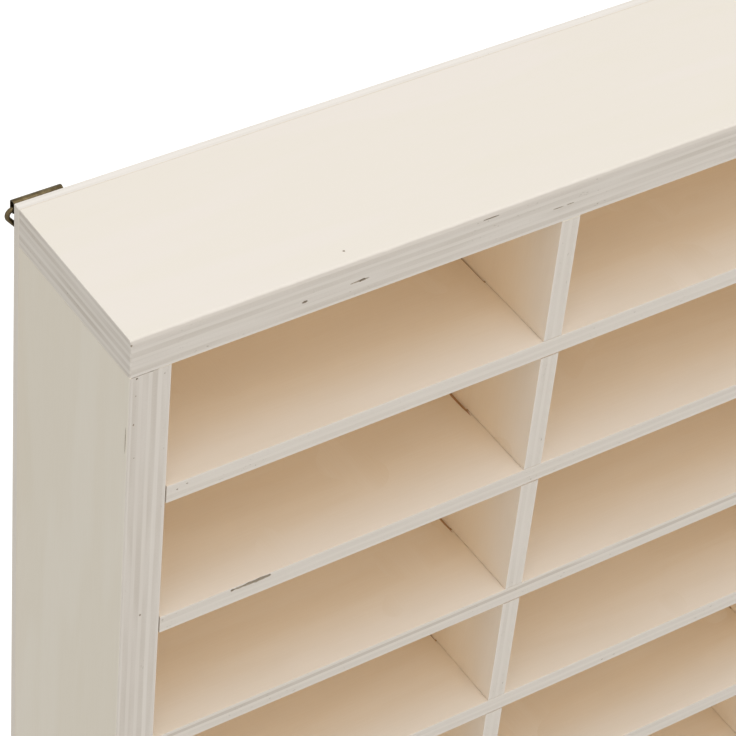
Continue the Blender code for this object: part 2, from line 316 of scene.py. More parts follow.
def veneer_stack(tree, place, kind, seed):
    """A point's veneer: its number, how crosswise the point lies from 0 to 1, and the veneer's own tone."""
    wander = add_node(
        tree, "ShaderNodeMapping",
        Vector=place, Location=(seed * STEP["wander"], 0, 0), Scale=[1 / mm for mm in WANDER_SIZE],
    ).outputs[0]
    wander = add_node(tree, "ShaderNodeTexNoise", Vector=wander, Scale=1.0, Detail=2.0).outputs["Fac"]
    depth = add_node(tree, "ShaderNodeSeparateXYZ", in0=place).outputs["Z"]
    depth = add_node(
        tree, "ShaderNodeMath", {"operation": "MULTIPLY_ADD"}, in0=wander, in1=WANDER, in2=depth
    ).outputs[0]
    layer = add_node(
        tree, "ShaderNodeMath", {"operation": "MULTIPLY_ADD"},
        in0=depth, in1=1 / kind["veneer"], in2=kind["veneers"] / 2 - WANDER / 2 / kind["veneer"],
    ).outputs[0]
    count = add_node(tree, "ShaderNodeMath", {"operation": "FLOOR"}, in0=layer).outputs[0]
    own = add_node(
        tree, "ShaderNodeMath", {"operation": "ADD"}, in0=count, in1=seed * STEP["own"]
    ).outputs[0]
    own = add_node(tree, "ShaderNodeTexWhiteNoise", {"noise_dimensions": "1D"}, W=own).outputs["Value"]
    middle = add_node(tree, "ShaderNodeMath", {"operation": "SUBTRACT"}, in0=layer, in1=0.5).outputs[0]
    crosswise = add_node(
        tree, "ShaderNodeMath", {"operation": "PINGPONG"}, in0=middle, in1=1.0
    ).outputs[0]
    return count, crosswise, own


print("veneers wander by up to", WANDER, "mm")

# %% Grain
FIBRE_SIZE = (14, 0.5, 0.5)
FLAME_SIZE = (150, 24, 24)
FLAME_RINGS = 40.0
RING_SHARE = 0.05


def birch_grain(tree, place, crosswise, seed):
    """Fine fibre streaks and the broad flame of a peeled veneer, turned with the veneer."""
    xyz = add_node(tree, "ShaderNodeSeparateXYZ", in0=place).outputs
    turned = add_node(tree, "ShaderNodeCombineXYZ", in0=xyz["Y"], in1=xyz["X"], in2=xyz["Z"]).outputs[0]
    crossed = add_node(
        tree, "ShaderNodeMath", {"operation": "GREATER_THAN"}, in0=crosswise, in1=0.5
    ).outputs[0]
    place = add_node(
        tree, "ShaderNodeMix", {"data_type": "VECTOR"}, in0=crossed, in4=place, in5=turned
    ).outputs[1]
    fine = add_node(
        tree, "ShaderNodeMapping",
        Vector=place, Location=(seed * STEP["fine"], 0, 0), Scale=[1 / mm for mm in FIBRE_SIZE],
    ).outputs[0]
    fine = add_node(tree, "ShaderNodeTexNoise", Vector=fine, Scale=1.0, Detail=3.0).outputs["Fac"]
    flame = add_node(
        tree, "ShaderNodeMapping",
        Vector=place, Location=(seed * STEP["flame"], 0, 0), Scale=[1 / mm for mm in FLAME_SIZE],
    ).outputs[0]
    flame = add_node(tree, "ShaderNodeTexNoise", Vector=flame, Scale=1.0, Detail=2.0).outputs["Fac"]
    rings = add_node(
        tree, "ShaderNodeMath", {"operation": "MULTIPLY"}, in0=flame, in1=FLAME_RINGS
    ).outputs[0]
    rings = add_node(tree, "ShaderNodeMath", {"operation": "SINE"}, in0=rings).outputs[0]
    figure = add_node(
        tree, "ShaderNodeMath", {"operation": "MULTIPLY_ADD"}, in0=rings, in1=RING_SHARE, in2=flame
    ).outputs[0]
    return fine, figure


print("fibre streaks", FIBRE_SIZE[1], "mm wide")

# %% Stripes of a sawn edge
SIDE_STRIPE = (0.26, 0.56)
END_STRIPE = (0.44, 0.74)
END_STRENGTH = 1.4
PATCH_SIZE = (30, 30, 3)
PATCH_STRENGTH = (0.3, 1.6)
# Nearly all of a noise lies between these two values
NOISE_LOW, NOISE_HIGH = 0.3, 0.7


def sawn_stripes(tree, place, facing, crosswise, seed):
    """How much dark end grain shows: crosswise veneers on the long edges, lengthwise ones on the ends."""
    on_side = add_node(
        tree, "ShaderNodeMapRange", {"interpolation_type": "SMOOTHSTEP"},
        in0=crosswise, in1=SIDE_STRIPE[0], in2=SIDE_STRIPE[1],
    ).outputs[0]
    on_side = add_node(
        tree, "ShaderNodeMath", {"operation": "MULTIPLY"}, in0=on_side, in1=facing["Y"]
    ).outputs[0]
    on_end = add_node(
        tree, "ShaderNodeMapRange", {"interpolation_type": "SMOOTHSTEP"},
        in0=crosswise, in1=END_STRIPE[0], in2=END_STRIPE[1], in3=END_STRENGTH, in4=0.0,
    ).outputs[0]
    stripes = add_node(
        tree, "ShaderNodeMath", {"operation": "MULTIPLY_ADD"}, in0=on_end, in1=facing["X"], in2=on_side
    ).outputs[0]
    uneven = add_node(
        tree, "ShaderNodeMapping",
        Vector=place, Location=(0, seed * STEP["uneven"], 0), Scale=[1 / mm for mm in PATCH_SIZE],
    ).outputs[0]
    uneven = add_node(tree, "ShaderNodeTexNoise", Vector=uneven, Scale=1.0, Detail=1.0).outputs["Fac"]
    uneven = add_node(
        tree, "ShaderNodeMapRange",
        in0=uneven, in1=NOISE_LOW, in2=NOISE_HIGH, in3=PATCH_STRENGTH[0], in4=PATCH_STRENGTH[1],
    ).outputs[0]
    return add_node(tree, "ShaderNodeMath", {"operation": "MULTIPLY"}, in0=stripes, in1=uneven).outputs[0]


print("stripes change every", PATCH_SIZE[0], "mm or so")

# %% Where the face veneer is sanded through
FRAY_SIZE = (7, 2, 2)
FRAY = 3.0
FACE_SPAN = (0.35, 0.985)


def face_share(tree, place, facing, seed):
    """How much of a point is face veneer: all of it on a flat face, with a frayed end on a rounded edge."""
    fray = add_node(
        tree, "ShaderNodeMapping",
        Vector=place, Location=(seed * STEP["fray"], 0, 0), Scale=[1 / mm for mm in FRAY_SIZE],
    ).outputs[0]
    fray = add_node(tree, "ShaderNodeTexNoise", Vector=fray, Scale=1.0, Detail=3.0).outputs["Fac"]
    tilt = add_node(tree, "ShaderNodeMath", {"operation": "SUBTRACT"}, in0=1.0, in1=facing["Z"]).outputs[0]
    loss = add_node(tree, "ShaderNodeMath", {"operation": "MULTIPLY"}, in0=tilt, in1=fray).outputs[0]
    loss = add_node(
        tree, "ShaderNodeMath", {"operation": "MULTIPLY_ADD"}, in0=loss, in1=-FRAY, in2=facing["Z"]
    ).outputs[0]
    return add_node(tree, "ShaderNodeMapRange", in0=loss, in1=FACE_SPAN[0], in2=FACE_SPAN[1]).outputs[0]


print("frayed ends", FRAY_SIZE[0], "mm long")

# %% Pores that the saw tore open
PORE = 0.5
PORE_LENGTH = 1.25
PORE_SPAN = (0.69, 0.8)
TORN_STRETCH = 12.0
STRETCH_SPAN = (0.54, 0.68)


def torn_pores(tree, place, stripes, seed):
    """How far a point is in a torn pore: specks in some stretches of the end grain, and none elsewhere."""
    specks = add_node(
        tree, "ShaderNodeMapping", Vector=place, Location=(seed * STEP["specks"], 0, 0),
        Scale=(1 / PORE_LENGTH, 1 / PORE, 1 / PORE),
    ).outputs[0]
    specks = add_node(tree, "ShaderNodeTexNoise", Vector=specks, Scale=1.0, Detail=1.0).outputs["Fac"]
    specks = add_node(
        tree, "ShaderNodeMapRange", in0=specks, in1=PORE_SPAN[0], in2=PORE_SPAN[1]
    ).outputs[0]
    stretch = add_node(
        tree, "ShaderNodeMapping", Vector=place, Location=(0, 0, seed * STEP["stretch"]),
        Scale=(1 / TORN_STRETCH, 1 / TORN_STRETCH, 1 / TORN_STRETCH),
    ).outputs[0]
    stretch = add_node(tree, "ShaderNodeTexNoise", Vector=stretch, Scale=1.0, Detail=0.0).outputs["Fac"]
    stretch = add_node(
        tree, "ShaderNodeMapRange", in0=stretch, in1=STRETCH_SPAN[0], in2=STRETCH_SPAN[1]
    ).outputs[0]
    torn = add_node(tree, "ShaderNodeMath", {"operation": "MULTIPLY"}, in0=specks, in1=stretch).outputs[0]
    return add_node(tree, "ShaderNodeMath", {"operation": "MULTIPLY"}, in0=torn, in1=stripes).outputs[0]


print("torn pores", PORE, "mm apart")

# %% [markdown]
# Inside the case the faces go from a cool white at the front of each compartment to tan deeper in: painted
# light where the light comes in, and painted shade where it fades.
# The outer faces of the frame have a pale colour of their own.

# %% Faces inside the case
SHADED_DEEP_TONES = ("f9e8cf", "f3dec0")
LIT_FRONT_TONES = ("f4e8d8", "eee1ce")
LIT_FRONT_REACH = 22 * MM


def inside_face(tree, tone):
    """Birch faces inside the case, whiter towards the open front: painted light there, and painted shade
    deeper in.
    """
    shaded_deep, lit_front = [
        add_node(
            tree, "ShaderNodeMix", {"data_type": "RGBA"}, in0=tone, in6=linear(pale), in7=linear(dark)
        ).outputs[2]
        for pale, dark in (SHADED_DEEP_TONES, LIT_FRONT_TONES)
    ]
    inwards = add_node(tree, "ShaderNodeTexCoord").outputs["Object"]
    inwards = add_node(tree, "ShaderNodeSeparateXYZ", in0=inwards).outputs["Y"]
    front = CAD_BOX[0].y
    # Whiter at the open front and tan deeper in: painted light and painted shade
    lit_front_share = add_node(
        tree, "ShaderNodeMapRange", {"interpolation_type": "SMOOTHSTEP"},
        in0=inwards, in1=front, in2=front + LIT_FRONT_REACH, in3=1.0, in4=0.0,
    ).outputs[0]
    return add_node(tree, "ShaderNodeMix", {"data_type": "RGBA"}, in0=lit_front_share, in6=shaded_deep, in7=lit_front).outputs[2]


print("wash reaches", round(LIT_FRONT_REACH / MM), "mm in")

# %% [markdown]
# The frame's plywood is nine veneers thick, the grid's five and the back's three. The top and bottom
# have a whiter face than the sides, which is painted shade on the sides for the light they catch. Next
# to each face, a sawn edge shows a cream line: partly the pale outer veneer, partly a painted highlight on
# the arris. A board's ends get a paler tone than its long edges, which is painted light. One of the grid's
# sheets has a veneer of brown heartwood in it, and a shelf cut from that sheet shows a dark line.

# %% Birch plywood
ARRIS_HIGHLIGHT_WIDTH = 0.45
FIBRES_ON_FACE = 0.35
FACE_TONES = (0.4, 0.95)
HEARTWOOD = 0.5
OWN_TONE = 0.09
FIBRES_ON_EDGE = 0.18
ROUNDED_EDGE_SHADE_AND_DIRT = 0.2
ROUNDED_EDGE_SHADE_SPAN = (0.05, 0.5)
TORN_COLOUR = "9a8c78"
FIBRE_HEIGHT = 0.04 * MM
TOP_BOARD = {
    "veneers": 9, "veneer": 1.4, "stripes": 0.18, "arris_highlight": -0.22, "tones": (0.21, 0.39),
    "outside": ("f4ebe0", "f2eada"), "edge": ("f1eae0", "c0b5a6"),
}
# The sides' darker outside face is painted shade, for the light a side catches
SIDE_BOARD = {
    "veneers": 9, "veneer": 1.4, "stripes": 0.15, "arris_highlight": -0.2, "tones": (0.27, 0.42),
    "outside": ("ece4d5", "e6dcc9"), "edge": ("f1eae0", "c0b5a6"),
}
GRID_BOARD = {
    "veneers": 5, "veneer": 1.25, "stripes": 0.1, "arris_highlight": -0.2, "tones": (0.27, 0.42),
    "edge": ("f0e9de", "c8bdae"),
}
BROWN_GRID_BOARD = {**GRID_BOARD, "heartwood": 3}
BACK_BOARD = {
    "veneers": 3, "veneer": 1.1, "stripes": 0.1, "arris_highlight": 0.0, "tones": (-0.1, 0.45),
    "edge": ("f6efe5", "d9cfc0"),
}


def birch_plywood(node, kind, seed):
    """Bare sanded birch: matt and pale, striped by its veneers where it is sawn, with a faint flame."""
    material = bpy.data.materials.new("birch_plywood_" + node)
    material.use_nodes = True
    tree = material.node_tree
    shader = tree.nodes["Principled BSDF"]
    place, facing = board_places(tree, node)
    number, crosswise, own = veneer_stack(tree, place, kind, seed)
    fine, figure = birch_grain(tree, place, crosswise, seed)
    low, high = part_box(node)
    size = high - low
    depth = add_node(tree, "ShaderNodeSeparateXYZ", in0=place).outputs["Z"]

    tone = add_node(
        tree, "ShaderNodeMath", {"operation": "MULTIPLY_ADD"}, in0=fine, in1=FIBRES_ON_FACE, in2=figure
    ).outputs[0]
    tone = add_node(tree, "ShaderNodeMapRange", in0=tone, in1=FACE_TONES[0], in2=FACE_TONES[1]).outputs[0]
    face = inside_face(tree, tone)
    if "outside" in kind:
        outside = add_node(
            tree, "ShaderNodeMix", {"data_type": "RGBA"},
            in0=tone, in6=linear(kind["outside"][0]), in7=linear(kind["outside"][1]),
        ).outputs[2]
        # The outer face is on the side of the board that looks away from the middle of the case
        thin = min(range(3), key=lambda axis: size[axis])
        outwards = (low + high - CAD_BOX[0] - CAD_BOX[1])[thin]
        outer = add_node(
            tree, "ShaderNodeMath", {"operation": "GREATER_THAN" if outwards > 0 else "LESS_THAN"},
            in0=depth, in1=0.0,
        ).outputs[0]
        face = add_node(
            tree, "ShaderNodeMix", {"data_type": "RGBA"}, in0=outer, in6=face, in7=outside
        ).outputs[2]

    stripes = sawn_stripes(tree, place, facing, crosswise, seed)
    tone = add_node(
        tree, "ShaderNodeMath", {"operation": "MULTIPLY"}, in0=stripes, in1=kind["stripes"]
    ).outputs[0]
    if "heartwood" in kind:
        brown = add_node(
            tree, "ShaderNodeMath", {"operation": "COMPARE"}, in0=number, in1=kind["heartwood"], in2=0.1
        ).outputs[0]
        brown = add_node(
            tree, "ShaderNodeMath", {"operation": "MULTIPLY"}, in0=brown, in1=stripes
        ).outputs[0]
        tone = add_node(
            tree, "ShaderNodeMath", {"operation": "MULTIPLY_ADD"}, in0=brown, in1=HEARTWOOD, in2=tone
        ).outputs[0]
    tone = add_node(
        tree, "ShaderNodeMath", {"operation": "MULTIPLY_ADD"}, in0=own, in1=OWN_TONE, in2=tone
    ).outputs[0]
    tone = add_node(
        tree, "ShaderNodeMath", {"operation": "MULTIPLY_ADD"}, in0=fine, in1=FIBRES_ON_EDGE, in2=tone
    ).outputs[0]
    # A board's ends get a paler tone than its long edges, which is painted light on the ends, and its
    # rounded edges are darkened: painted shade where they catch more light, and dirt from hands
    on_end, on_edge = kind["tones"]
    tone = add_node(tree, "ShaderNodeMath", {"operation": "ADD"}, in0=tone, in1=on_edge).outputs[0]
    tone = add_node(
        tree, "ShaderNodeMath", {"operation": "MULTIPLY_ADD"},
        in0=facing["X"], in1=on_end - on_edge, in2=tone,
    ).outputs[0]
    rounded_edge_shade_and_dirt = add_node(
        tree, "ShaderNodeMapRange",
        in0=facing["Z"], in1=ROUNDED_EDGE_SHADE_SPAN[0], in2=ROUNDED_EDGE_SHADE_SPAN[1], in3=0.0, in4=ROUNDED_EDGE_SHADE_AND_DIRT,
    ).outputs[0]
    tone = add_node(tree, "ShaderNodeMath", {"operation": "ADD"}, in0=tone, in1=rounded_edge_shade_and_dirt).outputs[0]
    half = min(size) / 2 / MM
    depth = add_node(tree, "ShaderNodeMath", {"operation": "ABSOLUTE"}, in0=depth).outputs[0]
    # Next to each face the sawn edge turns cream: partly the pale outer veneer, partly a painted highlight
    # on the arris
    arris_highlight_line = add_node(
        tree, "ShaderNodeMapRange",
        in0=depth, in1=half - ARRIS_HIGHLIGHT_WIDTH, in2=half - ARRIS_HIGHLIGHT_WIDTH / 4, in3=0.0, in4=kind["arris_highlight"],
    ).outputs[0]
    tone = add_node(tree, "ShaderNodeMath", {"operation": "ADD"}, in0=tone, in1=arris_highlight_line).outputs[0]
    edge = add_node(
        tree, "ShaderNodeMix", {"data_type": "RGBA"},
        in0=tone, in6=linear(kind["edge"][0]), in7=linear(kind["edge"][1]),
    ).outputs[2]
    torn = torn_pores(tree, place, stripes, seed)
    edge = add_node(
        tree, "ShaderNodeMix", {"data_type": "RGBA"}, in0=torn, in6=edge, in7=linear(TORN_COLOUR)
    ).outputs[2]

    share = face_share(tree, place, facing, seed)
    colour = add_node(
        tree, "ShaderNodeMix", {"data_type": "RGBA"}, in0=share, in6=edge, in7=face
    ).outputs[2]
    bump = add_node(tree, "ShaderNodeBump", Height=fine, Strength=0.2, Distance=FIBRE_HEIGHT).outputs[0]
    tree.links.new(colour, shader.inputs["Base Color"])
    tree.links.new(bump, shader.inputs["Normal"])
    shader.inputs["Roughness"].default_value = 0.6
    shader.inputs["Specular IOR Level"].default_value = 0.3
    return material


print("veneers", [kind["veneers"] for kind in (TOP_BOARD, SIDE_BOARD, GRID_BOARD, BACK_BOARD)])

# %% [markdown]
# ## Boards
# The solids already have every board's true outline, slots, holes and eased edges, so nothing has to be
# modelled again. Their meshes are loose triangles with flat shading, though, and a rounded front edge
# would show its facets. Each board is therefore a copy with its triangles joined and smooth shading,
# and a Weighted Normal modifier keeps the wide faces flat next to the round edges.

# %% Boards
def board_kind(node):
    """The plywood that a board is cut from."""
    if node.endswith("_side"):
        return SIDE_BOARD
    if node in ("top_panel", "bottom_panel"):
        return TOP_BOARD
    if node == "shelf_3":
        return BROWN_GRID_BOARD
    return BACK_BOARD if node == "back_panel" else GRID_BOARD


def plywood_board(node, seed):
    """A board with its own veneers."""
    bm = bmesh.new()
    bm.from_mesh(frame["nodes"][node].data)
    bmesh.ops.remove_doubles(bm, verts=bm.verts, dist=SAME_PLACE)
    bmesh.ops.dissolve_limit(bm, angle_limit=math.radians(1), verts=bm.verts, edges=bm.edges)
    return add_piece(node + "_board", bm, birch_plywood(node, board_kind(node), seed), node)


boards = {}
for seed, node in enumerate(sorted(n for n, slot in SLOT_OF.items() if slot == "birch_plywood"), start=1):
    boards[node] = plywood_board(node, seed)
print("boards", len(boards))

# %% [markdown]
# ## Voids and chips
# Cheap plywood has small faults: a gap in an inner veneer opens as a dark slit on the sawn edge, a pore
# opens as a pin hole, and the saw lifts a splinter of the face. Dark spots in the finish would look
# painted on from the side, so each fault is a hollow: a ball, pulled long, made uneven and cut out.
# Its walls are torn wood, rough and brown with the fibres standing up, and coloured darker than bare
# wood as painted shade inside the hollow. Along the first divider, where it crosses a shelf, a hollow has
# redder brown walls, which are painted shade of that corner.

# %% Torn wood and painted corner shade
# Fibres are about 0.1 mm thick, and are drawn twice as coarse so that they show
FIBRES_PER_M = (0.7 / MM, 5 / MM, 5 / MM)


def rough_wood(name, dark, pale):
    """Bare birch with its fibres standing up, which makes it matt and streaky."""
    material = bpy.data.materials.new(name)
    material.use_nodes = True
    tree = material.node_tree
    shader = tree.nodes["Principled BSDF"]
    coords = add_node(tree, "ShaderNodeTexCoord").outputs
    fibres = add_node(
        tree, "ShaderNodeMapping", Vector=coords["Object"], Scale=FIBRES_PER_M
    ).outputs[0]
    fibres = add_node(tree, "ShaderNodeTexNoise", Vector=fibres, Scale=1.0, Detail=2.0).outputs["Fac"]
    colour = add_node(
        tree, "ShaderNodeMix", {"data_type": "RGBA"}, in0=fibres, in6=linear(dark), in7=linear(pale)
    ).outputs[2]
    bump = add_node(tree, "ShaderNodeBump", Height=fibres, Strength=0.6, Distance=0.1 * MM).outputs[0]
    tree.links.new(colour, shader.inputs["Base Color"])
    tree.links.new(bump, shader.inputs["Normal"])
    shader.inputs["Roughness"].default_value = 0.85
    return material


# The torn wood is darker than bare birch: painted shade in its hollows
torn_wood_and_shade = rough_wood("torn_birch_with_painted_shade", "83735f", "c2b5a1")
# Redder brown walls for the hollows along the divider: painted shade of that corner
corner_shade_birch = rough_wood("corner_shade_birch", "b98558", "e0ad82")
print("rough wood ready")

# %% [markdown]
# Places and sizes are in millimetres, to the right, back and down from the board's front top left
# corner. The two hollows of painted corner shade lie along the first divider.

# %% Voids and chips
FAULTS = {
    "top_panel": (
        ((50.8, 0.0, 7.35), (1.7, 1.6, 0.75)),
        ((68.0, 0.0, 6.87), (2.6, 1.8, 0.8)),
        ((67.4, 0.0, 6.87), (6.0, 0.3, 0.5)),
        ((107.6, 0.1, 1.45), (6.2, 0.35, 0.45)),
        ((129.8, 0.0, 6.5), (3.4, 0.25, 0.3)),
        ((133.8, 0.0, 6.5), (2.5, 0.25, 0.3)),
        ((65.2, 5.2, 0.0), (0.7, 0.6, 0.4)),
        ((0.0, 0.0, 1.3), (0.8, 0.8, 0.9)),
    ),
    "shelf_1": (
        ((3.2, 0.0, 2.4), (0.5, 0.4, 0.4)),
        ((6.1, 0.0, 1.6), (0.7, 0.3, 0.3)),
    ),
    "shelf_2": (
        ((28.2, 0.0, 0.75), (4.8, 1.3, 1.2)),
        ((31.0, 0.0, 0.75), (5.0, 1.5, 1.3)),
        ((33.3, 0.0, 0.7), (3.6, 1.3, 1.0)),
        ((22.7, 0.0, 0.8), (1.2, 1.5, 0.9)),
        ((25.0, 0.0, 0.8), (4.4, 0.4, 0.8)),
    ),
    "left_side": (
        ((2.05, 0.0, 0.65), (0.6, 0.9, 0.6)),
        ((1.55, 0.0, 16.1), (0.5, 0.4, 0.6)),
        ((1.9, 0.0, 6.4), (0.3, 0.25, 0.5)),
        ((2.1, 0.0, 27.9), (0.35, 0.25, 0.4)),
        ((6.0, 0.0, 87.6), (0.6, 0.5, 0.7)),
        ((10.1, 0.0, 2.1), (0.4, 0.25, 0.3)),
        ((0.0, 1.1, 21.4), (0.2, 0.35, 9.0)),
    ),
}
CORNER_SHADE_HOLLOWS = {
    "shelf_2": (((119.2, 33.5, 0.0), (1.4, 13.0, 0.9)),),
    "shelf_3": (((119.2, 33.0, 0.0), (1.0, 10.0, 0.6)),),
}
UNEVENNESS = 0.35
LUMPS = 4
FAULT_STEP = 3.1


def fault_shape(bm, centre, size, seed):
    """Adds an uneven hollow round a point."""
    ball = bmesh.ops.create_icosphere(bm, subdivisions=3, radius=0.5)["verts"]
    for vert in ball:
        vert.co *= 1 + UNEVENNESS * noise.noise(vert.co * LUMPS + Vector((seed, 0, 0)))
    bmesh.ops.scale(bm, vec=Vector(size) * MM, verts=ball)
    bmesh.ops.translate(bm, vec=centre, verts=ball)


for wood, faulty_boards in ((torn_wood_and_shade, FAULTS), (corner_shade_birch, CORNER_SHADE_HOLLOWS)):
    for node, faults in faulty_boards.items():
        low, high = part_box(node)
        corner = Vector((low.x, low.y, high.z))
        for number, ((right, back, down), size) in enumerate(faults):
            bm = bmesh.new()
            fault_shape(bm, corner + Vector((right, back, -down)) * MM, size, FAULT_STEP * number)
            carve(boards[node], bm, wood)
        print(node, len(faults), wood.name)
for board in boards.values():
    board.modifiers.new("flat_faces", "WEIGHTED_NORMAL").keep_sharp = True

# %% [markdown]
# ## Glue
# The frame's joints are glued, and the glue that squeezes into a joint dries to a thin pale film a hair
# below the surface. Without it each joint is a black slit. The films are thin plates in the joints:
# one at each end of the sides and dividers, some in the grid's slots, and a ring between the frame and
# the back panel. One joint was starved of glue at the front, so its film is cut back there, and the
# slit shows.

# %% Glue films
GLUE_INSET = 0.03 * MM
GLUE_CLEARANCE = 0.01 * MM
STARVED = ((4.4, 0.0, 0.0), (8.6, 2.4, 0.8))
STARVED_SEED = 5.0
DUST_PER_M = 0.25 / MM


def dried_glue(name, amber, dusty):
    """Wood glue dries amber, and takes up sanding dust in patches a few millimetres long."""
    material = bpy.data.materials.new(name)
    material.use_nodes = True
    tree = material.node_tree
    shader = tree.nodes["Principled BSDF"]
    coords = add_node(tree, "ShaderNodeTexCoord").outputs
    dust = add_node(
        tree, "ShaderNodeMapping", Vector=coords["Object"], Scale=(DUST_PER_M, DUST_PER_M, DUST_PER_M)
    ).outputs[0]
    dust = add_node(tree, "ShaderNodeTexNoise", Vector=dust, Scale=1.0, Detail=3.0).outputs["Fac"]
    colour = add_node(
        tree, "ShaderNodeMix", {"data_type": "RGBA"}, in0=dust, in6=linear(amber), in7=linear(dusty)
    ).outputs[2]
    tree.links.new(colour, shader.inputs["Base Color"])
    shader.inputs["Roughness"].default_value = 0.5
    return material


glue = dried_glue("dried_wood_glue", "ddd0b8", "f3ebdd")
# The slot glue's brown is painted shade of the crossing
slot_glue_and_shade = dried_glue("slot_glue_with_painted_shade", "b58a58", "cfaa7a")


def add_glue(name, bm, material=glue):
    """A film that rides on the case."""
    mesh = bpy.data.meshes.new(name)
    bmesh.ops.recalc_face_normals(bm, faces=bm.faces)
    bm.to_mesh(mesh)
    bm.free()
    mesh.materials.append(material)
    film = bpy.data.objects.new(name, mesh)
    bpy.context.scene.collection.objects.link(film)
    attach(film, "case")
    return film


def film_plate(bm, low, high):
    """Adds a plate with rounded edges between two corners."""
    plate = bmesh.ops.create_cube(bm, size=1.0)["verts"]
    bmesh.ops.scale(bm, vec=high - low, verts=plate)
    bmesh.ops.translate(bm, vec=(low + high) / 2, verts=plate)
    edges = list({edge for vert in plate for edge in vert.link_edges})
    bmesh.ops.bevel(
        bm, geom=edges, offset=GLUE_INSET, segments=2, profile=0.5, affect="EDGES", material=-1
    )


def joint_film(upright, panel):
    """The film between an upright board's end and the panel that laps over it."""
    low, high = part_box(upright)
    panel_low, panel_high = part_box(panel)
    bottom, top = (high.z, panel_low.z) if panel == "top_panel" else (panel_high.z, low.z)
    bm = bmesh.new()
    film_plate(
        bm,
        Vector((low.x + GLUE_INSET, low.y + GLUE_INSET, bottom + GLUE_CLEARANCE)),
        Vector((high.x - GLUE_INSET, high.y - GLUE_INSET, top - GLUE_CLEARANCE)),
    )
    return add_glue(upright + "_" + panel + "_glue", bm)


films = {}
for upright in (node for node in boards if node.endswith("_side") or node.startswith("divider")):
    for panel in ("top_panel", "bottom_panel"):
        films[upright, panel] = joint_film(upright, panel)
place, size = STARVED
low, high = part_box("left_side")
bm = bmesh.new()
fault_shape(bm, Vector((low.x, low.y, high.z)) + Vector(place) * MM, size, STARVED_SEED)
carve(films["left_side", "top_panel"], bm, glue)
print("glue films", len(films))

# %% [markdown]
# Shelves and dividers cross in slots, each cut half way through the depth. A slot has to be a little
# wider than the board in it. The glue in that play sits deeper, and is coloured browner than in the other
# joints as painted shade of the crossing, so that the crossing shows as a soft brown line.

# %% Glue in the grid's slots
SLOT_PLAY = 0.4 * MM
SLOT_SEAT = 0.2 * MM
SLOT_INSET = 0.3 * MM


def slot_films(divider):
    """Films at each shelf: over and under it in the front half, beside the divider in the back half."""
    low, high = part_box(divider)
    end = SLOT_PLAY - GLUE_CLEARANCE
    bm = bmesh.new()
    for shelf in (node for node in boards if node.startswith("shelf")):
        shelf_low, shelf_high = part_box(shelf)
        half_way = (shelf_low.y + shelf_high.y) / 2
        bottom = shelf_low.z + SLOT_INSET
        top = shelf_high.z - SLOT_INSET
        back = shelf_high.y - SLOT_INSET
        for floor, play in ((shelf_low.z - SLOT_PLAY, SLOT_PLAY), (shelf_high.z, SLOT_SEAT)):
            film_plate(
                bm,
                Vector((low.x + SLOT_INSET, low.y + SLOT_INSET, floor + GLUE_CLEARANCE)),
                Vector((high.x - SLOT_INSET, half_way + end, floor + play - GLUE_CLEARANCE)),
            )
        for wall in (low.x - SLOT_PLAY, high.x):
            film_plate(
                bm,
                Vector((wall + GLUE_CLEARANCE, half_way + SLOT_PLAY + GLUE_CLEARANCE, bottom)),
                Vector((wall + SLOT_PLAY - GLUE_CLEARANCE, back, top)),
            )
        # Where the two slots meet, a plug of glue fills their ends
        film_plate(
            bm,
            Vector((low.x - end, half_way - end, bottom)),
            Vector((high.x + end, half_way + end, shelf_high.z - GLUE_INSET)),
        )
    return add_glue(divider + "_slot_glue_and_shade", bm, slot_glue_and_shade)


slots = [slot_films(node) for node in boards if node.startswith("divider")]
print("slot films", [len(film.data.polygons) for film in slots], "faces")

# %% Glue ring under the back panel
back_low, back_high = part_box("back_panel")
top_low, top_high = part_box("top_panel")
frame_board = top_high.z - top_low.z
middle = (back_low + back_high) / 2
middle.y = top_high.y + GLUE_CLEARANCE
reach = (back_high - back_low) / 2
bm = bmesh.new()
bmesh.ops.create_grid(bm, x_segments=1, y_segments=1, size=1.0)
bmesh.ops.scale(bm, vec=(reach.x - GLUE_INSET, reach.z - GLUE_INSET, 1), verts=bm.verts)
bmesh.ops.rotate(bm, cent=(0, 0, 0), matrix=Matrix.Rotation(math.pi / 2, 3, "X"), verts=bm.verts)
bmesh.ops.translate(bm, vec=middle, verts=bm.verts)
bmesh.ops.inset_region(
    bm, faces=bm.faces[:], thickness=frame_board - GLUE_INSET, use_boundary=True, use_even_offset=True
)
inside = min(bm.faces, key=lambda face: (face.calc_center_median() - middle).length)
bmesh.ops.delete(bm, geom=[inside], context="FACES")
grown = bmesh.ops.extrude_face_region(bm, geom=bm.faces[:])["geom"]
bmesh.ops.translate(
    bm, vec=(0, back_low.y - top_high.y - 2 * GLUE_CLEARANCE, 0),
    verts=[item for item in grown if isinstance(item, bmesh.types.BMVert)],
)
ring = add_glue("back_panel_glue", bm)
print("glue ring of", len(ring.data.polygons), "faces")

# %% [markdown]
# ## Antique brass
# The hangers are brass plate and brass wire, dipped in a bath that turns them brown and then rubbed, so
# that a dull gold comes through. One flat brown would look like paint. Two noises do better: a broad one
# for where the rubbing went, and a fine one for the dip's uneven bite, which also roughens the gloss.

# %% Antique brass
RUBS_PER_M = 0.35 / MM
BITES_PER_M = 3 / MM
BITE_SHARE = 0.5
PATINA_SPAN = (0.5, 1.0)
BRASS_ROUGHNESS = (0.3, 0.5)

